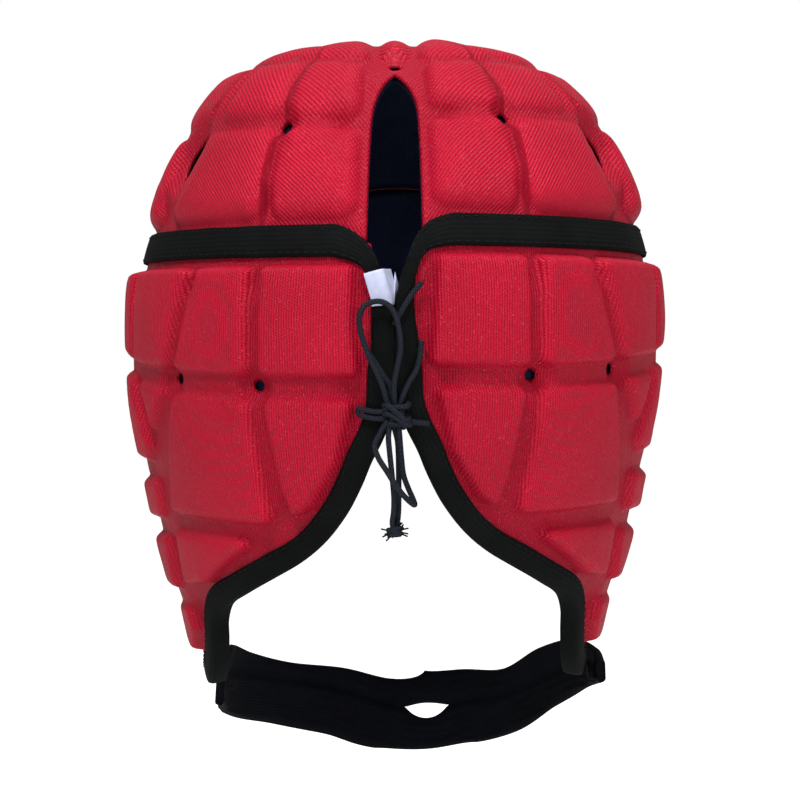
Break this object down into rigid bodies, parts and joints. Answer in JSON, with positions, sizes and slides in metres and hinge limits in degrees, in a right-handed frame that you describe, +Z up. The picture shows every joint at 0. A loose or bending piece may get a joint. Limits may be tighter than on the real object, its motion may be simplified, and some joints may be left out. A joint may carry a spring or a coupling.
{
  "type": "padded headgear",
  "caption": "Soft padded rugby headgear with a laced back slit, jaw tabs and a chin strap, shaped as worn on the head.",
  "frame": {"origin": "the inside of the crown's top, where the cap sits on the head", "axes": "+Z up, +Y towards the face opening, the laced slit at the back towards -Y, +X towards the wearer's right side"},
  "size_m": [0.182, 0.2109, 0.2474],
  "materials": {
    "red_knit": "fine ribbed knit with a satin sheen",
    "navy_lining": "plain matte knit",
    "black_tape": "matte stretch tape",
    "strap_knit": "matte ribbed elastic",
    "fastener": "hook and loop",
    "satin_label": "satin",
    "lace_cord": "round braided elastic"
  },
  "bodies": {
    "root": {"crown_panel": "red_knit", "crown_lining": "navy_lining", "left_side_panel": "red_knit", "left_side_lining": "navy_lining", "right_side_panel": "red_knit", "right_side_lining": "navy_lining", "front_panel": "red_knit", "front_lining": "navy_lining", "crown_band": "black_tape", "right_binding": "black_tape", "left_binding": "black_tape", "brow_binding": "black_tape", "chin_strap": "strap_knit", "strap_fastener": "fastener", "care_label": "satin_label", "lace_upper": "lace_cord", "lace_left": "lace_cord", "lace_right": "lace_cord", "lace_knot_left": "lace_cord", "lace_knot_right": "lace_cord", "bow_loop_up": "lace_cord", "bow_loop_down": "lace_cord", "lace_tail_left": "lace_cord", "lace_tail_right": "lace_cord", "bow_knot": "lace_cord", "lace_end_knot": "lace_cord"}
  },
  "joints": []
}
